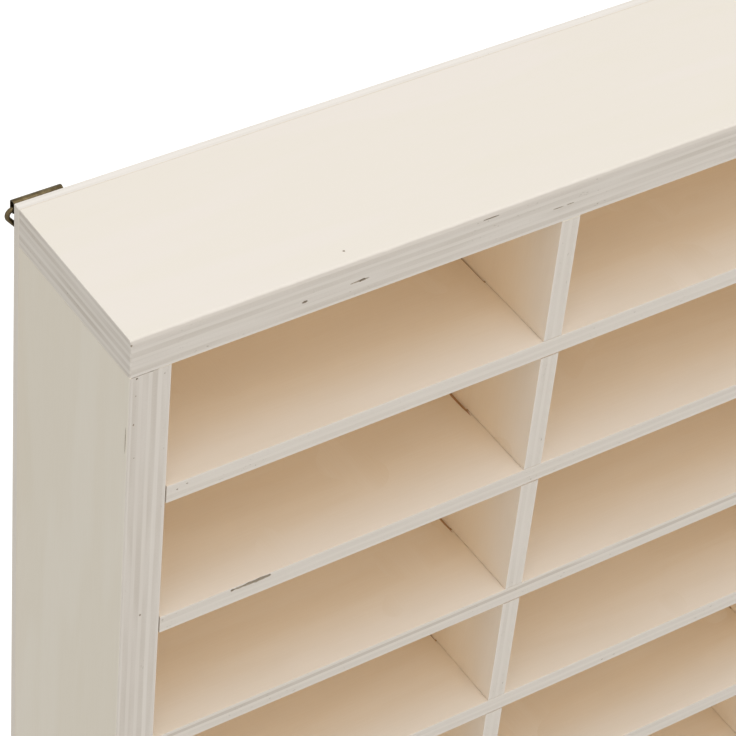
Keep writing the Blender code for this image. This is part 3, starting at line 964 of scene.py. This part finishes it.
brass = bpy.data.materials.new("antique_brass")
brass.use_nodes = True
tree = brass.node_tree
shader = tree.nodes["Principled BSDF"]
coords = add_node(tree, "ShaderNodeTexCoord").outputs
rubbed, bite = [
    add_node(tree, "ShaderNodeMapping", Vector=coords["Object"], Scale=(per_m, per_m, per_m)).outputs[0]
    for per_m in (RUBS_PER_M, BITES_PER_M)
]
rubbed = add_node(tree, "ShaderNodeTexNoise", Vector=rubbed, Scale=1.0, Detail=3.0).outputs["Fac"]
bite = add_node(tree, "ShaderNodeTexNoise", Vector=bite, Scale=1.0, Detail=3.0).outputs["Fac"]
patina = add_node(
    tree, "ShaderNodeMath", {"operation": "MULTIPLY_ADD"}, in0=bite, in1=BITE_SHARE, in2=rubbed
).outputs[0]
patina = add_node(
    tree, "ShaderNodeMapRange", in0=patina, in1=PATINA_SPAN[0], in2=PATINA_SPAN[1]
).outputs[0]
colour = add_node(
    tree, "ShaderNodeMix", {"data_type": "RGBA"}, in0=patina, in6=linear("4b3f29"), in7=linear("7f7154")
).outputs[2]
gloss = add_node(
    tree, "ShaderNodeMapRange",
    in0=bite, in1=NOISE_LOW, in2=NOISE_HIGH, in3=BRASS_ROUGHNESS[0], in4=BRASS_ROUGHNESS[1],
).outputs[0]
bump = add_node(tree, "ShaderNodeBump", Height=bite, Strength=0.25, Distance=0.03 * MM).outputs[0]
tree.links.new(colour, shader.inputs["Base Color"])
tree.links.new(gloss, shader.inputs["Roughness"])
tree.links.new(bump, shader.inputs["Normal"])
shader.inputs["Metallic"].default_value = 1.0
print("brass ready")

# %% [markdown]
# ## Hanger straps
# A strap is a strip of thin plate with a round lower end. Its upper end is folded back into a tall eye
# that holds the ring, and a screw goes through the leaf. A curve with a bevel could give the fold, but
# rolling the plate's own end with spin keeps its thickness even all the way round, as a press does.

# %% Hanger straps
SIDES = ("left", "right")
SHEET = 0.4 * MM
END_ROUND = 24
EYE_ROUND = 32
LIP_ROUND = 20
LIP_CURL = math.radians(110)
BURR = 0.07 * MM
SCREW_HOLE = 3.0 * MM
HOLE_ROUND = 40
HINGE_AT = {joint["child"]: Vector(joint["pos_m"]) for joint in frame["record"]["behaviour"]["joints"]}


def finish_metal(bm):
    """Joins a metal shape's seams and turns its faces outwards."""
    bmesh.ops.remove_doubles(bm, verts=bm.verts, dist=SAME_PLACE)
    bmesh.ops.recalc_face_normals(bm, faces=bm.faces)


def new_verts(grown):
    """The vertices that an extrusion made."""
    return [item for item in grown["geom"] if isinstance(item, bmesh.types.BMVert)]


def roll_on(bm, end, centre, angle, steps):
    """Rolls the plate on from its end face, and gives its new end."""
    rolled = bmesh.ops.spin(bm, geom=[end], cent=centre, axis=(1, 0, 0), angle=-angle, steps=steps)
    bmesh.ops.delete(bm, geom=[end], context="FACES_ONLY")
    return next(item for item in rolled["geom_last"] if isinstance(item, bmesh.types.BMFace))


def hanger_strap(side):
    """A strap: a round-ended leaf, a fold at the top, and a lip that curls round the wire."""
    node = side + "_hanger_strap"
    low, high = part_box(node)
    hinge = HINGE_AT[side + "_ring"]
    half = (high.x - low.x) / 2
    eye = (high.y - low.y) / 2
    fold = Vector((hinge.x, hinge.y, high.z - eye))
    foot = Vector((hinge.x, low.y, low.z + half))
    bm = bmesh.new()
    first = bmesh.ops.create_vert(bm, co=foot + Vector((half, 0, 0)))["vert"]
    bmesh.ops.spin(bm, geom=first, cent=foot, axis=(0, 1, 0), angle=math.pi, steps=END_ROUND)
    ends = [v for v in bm.verts if abs(v.co.z - foot.z) < SAME_PLACE]
    tops = [bmesh.ops.create_vert(bm, co=(v.co.x, v.co.y, fold.z))["vert"][0] for v in ends]
    for pair in (*zip(ends, tops), tops):
        bm.edges.new(pair)
    leaf = bmesh.ops.edgeloop_fill(bm, edges=bm.edges[:])["faces"]
    thick = bmesh.ops.extrude_face_region(bm, geom=leaf)
    bmesh.ops.translate(bm, vec=(0, SHEET, 0), verts=new_verts(thick))
    end = next(f for f in bm.faces if all(v.co.z > fold.z - SAME_PLACE for v in f.verts))
    end = roll_on(bm, end, fold, math.pi, EYE_ROUND)
    lip = bmesh.ops.extrude_face_region(bm, geom=[end])
    bmesh.ops.translate(bm, vec=(0, 0, hinge.z - fold.z), verts=new_verts(lip))
    bmesh.ops.delete(bm, geom=[end], context="FACES_ONLY")
    end = next(item for item in lip["geom"] if isinstance(item, bmesh.types.BMFace))
    roll_on(bm, end, hinge, LIP_CURL, LIP_ROUND)
    finish_metal(bm)
    sharp = [edge for edge in bm.edges if edge.calc_face_angle() > SMOOTH_BELOW]
    bmesh.ops.bevel(bm, geom=sharp, offset=BURR, segments=2, profile=0.5, affect="EDGES", material=-1)
    strap = add_piece(side + "_strap", bm, brass, node)
    hole = bmesh.new()
    bmesh.ops.create_cone(
        hole, cap_ends=True, segments=HOLE_ROUND,
        radius1=SCREW_HOLE / 2, radius2=SCREW_HOLE / 2, depth=4 * SHEET,
        matrix=Matrix.Translation(foot) @ Matrix.Rotation(math.pi / 2, 4, "X"),
    )
    carve(strap, hole, brass)
    return strap


straps = {side: hanger_strap(side) for side in SIDES}
print("straps", {side: len(strap.data.polygons) for side, strap in straps.items()})

# %% [markdown]
# ## Hanger rings
# A ring is one length of brass wire bent three times and closed inside the eye. A bevelled curve would
# pinch at tight bends, so a circle is swept instead: spun round each bend and drawn on between them.
# The upper bends start a little inside the eye. That makes them wide enough to clear its corners when
# the ring is swung up.

# %% Hanger rings
WIRE_SIDES = 20
BEND_ROUND = 18
BEND_INSIDE = 0.3 * MM


def hanger_ring(side):
    """A triangle of round wire, from the middle of the eye through its three bends and back."""
    node = side + "_hanger_ring"
    low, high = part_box(node)
    hinge = HINGE_AT[side + "_ring"]
    strap_low, strap_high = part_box(side + "_hanger_strap")
    base = (strap_high.x - strap_low.x) / 2 - BEND_INSIDE
    wire = (high.y - low.y) / 2
    bend = (high.x - low.x) / 2 - wire - base
    fall = hinge.z - low.z - wire - 2 * bend
    slant = math.atan2(base, fall)
    corners = [hinge + Vector((x, 0, -bend - z)) for x, z in ((base, 0), (0, fall), (-base, 0))]
    turns = [math.pi / 2 + slant, math.pi - 2 * slant, math.pi / 2 + slant]
    bm = bmesh.new()
    bmesh.ops.create_circle(
        bm, cap_ends=False, segments=WIRE_SIDES, radius=wire,
        matrix=Matrix.Translation(hinge + Vector((base, 0, 0))) @ Matrix.Rotation(math.pi / 2, 4, "Y"),
    )
    loop = bm.verts[:] + bm.edges[:]
    for number, (corner, angle) in enumerate(zip(corners, turns)):
        swept = bmesh.ops.spin(bm, geom=loop, cent=corner, axis=(0, 1, 0), angle=angle, steps=BEND_ROUND)
        edges = [item for item in swept["geom_last"] if isinstance(item, bmesh.types.BMEdge)]
        drawn = bmesh.ops.extrude_edge_only(bm, edges=edges)
        loop = [item for item in drawn["geom"] if not isinstance(item, bmesh.types.BMFace)]
        bmesh.ops.translate(bm, vec=corners[(number + 1) % 3] - corner, verts=new_verts(drawn))
    finish_metal(bm)
    return add_piece(side + "_ring", bm, brass, node)


rings = {side: hanger_ring(side) for side in SIDES}
print("rings", {side: len(ring.data.polygons) for side, ring in rings.items()})

# %% [markdown]
# ## Screws and nails
# Both are turned shapes: a profile spun once round its axis. The screw's cross is cut with two bars that
# narrow towards their floor, as the driver's tip does. Only the heads show, so no thread is cut.

# %% Screws
TURNED_STEPS = 40
SCREW_SHANK = 2.6 * MM
SCREW_CROWN = 1.7 * MM
CROWN_STEPS = 10
CROSS_SPAN = 2.8 * MM
CROSS_WIDTH = 0.7 * MM
CROSS_DEPTH = 0.9 * MM
CROSS_TAPER = 0.55


def turned(profile, centre):
    """Spins a profile of (radius, place along Y) points into a closed shape."""
    bm = bmesh.new()
    points = [bmesh.ops.create_vert(bm, co=centre + Vector((r, y, 0)))["vert"][0] for r, y in profile]
    edges = [bm.edges.new(pair) for pair in zip(points, points[1:])]
    bmesh.ops.spin(
        bm, geom=points + edges, cent=centre, axis=(0, 1, 0), angle=2 * math.pi,
        steps=TURNED_STEPS, use_merge=True,
    )
    finish_metal(bm)
    return bm


def hanger_screw(side):
    """A screw with a domed head and a cross in it."""
    node = side + "_hanger_screw"
    low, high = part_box(node)
    head = (high.x - low.x) / 2
    seat = Vector(((low.x + high.x) / 2, high.y - SCREW_CROWN, (low.z + high.z) / 2))
    point = low.y - seat.y
    crown = [
        (head * math.sin(turn), SCREW_CROWN * math.cos(turn))
        for turn in (math.pi / 2 * step / CROWN_STEPS for step in range(CROWN_STEPS + 1))
    ]
    shank = [(SCREW_SHANK / 2, 0), (SCREW_SHANK / 2, point + SCREW_SHANK), (0, point)]
    screw = add_piece(side + "_screw", turned(crown + shank, seat), brass, node)
    floor = seat + Vector((0, SCREW_CROWN - CROSS_DEPTH, 0))
    for size in ((CROSS_SPAN, CROSS_WIDTH), (CROSS_WIDTH, CROSS_SPAN)):
        bar = bmesh.new()
        bmesh.ops.create_cube(bar, size=1.0)
        bmesh.ops.scale(bar, vec=(size[0], 2 * CROSS_DEPTH, size[1]), verts=bar.verts)
        tip = [v for v in bar.verts if v.co.y < 0]
        bmesh.ops.scale(bar, vec=(CROSS_TAPER, 1, CROSS_TAPER), verts=tip)
        bmesh.ops.translate(bar, vec=floor + Vector((0, CROSS_DEPTH, 0)), verts=bar.verts)
        carve(screw, bar, brass)
    return screw


screws = {side: hanger_screw(side) for side in SIDES}
print("screws", {side: len(screw.data.polygons) for side, screw in screws.items()})

# %% [markdown]
# The nails are bright drawn steel wire. Drawing and the hammer leave fine scratches, which show as small
# changes of gloss more than of colour.

# %% Bright steel
SCRATCHES_PER_M = (1 / MM, 1 / MM, 8 / MM)
STEEL_ROUGHNESS = (0.25, 0.5)

steel = bpy.data.materials.new("bright_drawn_steel")
steel.use_nodes = True
tree = steel.node_tree
shader = tree.nodes["Principled BSDF"]
coords = add_node(tree, "ShaderNodeTexCoord").outputs
scratches = add_node(
    tree, "ShaderNodeMapping", Vector=coords["Object"], Scale=SCRATCHES_PER_M
).outputs[0]
scratches = add_node(tree, "ShaderNodeTexNoise", Vector=scratches, Scale=1.0, Detail=3.0).outputs["Fac"]
colour = add_node(
    tree, "ShaderNodeMix", {"data_type": "RGBA"}, in0=scratches, in6=linear("a3a3a0"), in7=linear("cbcbc7")
).outputs[2]
gloss = add_node(
    tree, "ShaderNodeMapRange",
    in0=scratches, in1=NOISE_LOW, in2=NOISE_HIGH, in3=STEEL_ROUGHNESS[0], in4=STEEL_ROUGHNESS[1],
).outputs[0]
bump = add_node(tree, "ShaderNodeBump", Height=scratches, Strength=0.2, Distance=0.02 * MM).outputs[0]
tree.links.new(colour, shader.inputs["Base Color"])
tree.links.new(gloss, shader.inputs["Roughness"])
tree.links.new(bump, shader.inputs["Normal"])
shader.inputs["Metallic"].default_value = 1.0
print("steel ready")

# %% Nails
NAIL_SHANK = 1.2 * MM
NAIL_HEAD = 0.7 * MM
NAIL_EASE = 0.2 * MM

nails = []
for node in sorted(n for n, slot in SLOT_OF.items() if slot == "bright_steel"):
    low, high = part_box(node)
    head = (high.x - low.x) / 2
    centre = Vector(((low.x + high.x) / 2, high.y, (low.z + high.z) / 2))
    point = low.y - high.y
    profile = [
        (0, 0), (head - 2 * NAIL_EASE, 0), (head - NAIL_EASE / 2, -NAIL_EASE / 2), (head, -NAIL_EASE),
        (head, -NAIL_HEAD), (NAIL_SHANK / 2, -NAIL_HEAD), (NAIL_SHANK / 2, point + NAIL_SHANK), (0, point),
    ]
    nails.append(add_piece(node + "_nail", turned(profile, centre), steel, node))
print("nails", len(nails))
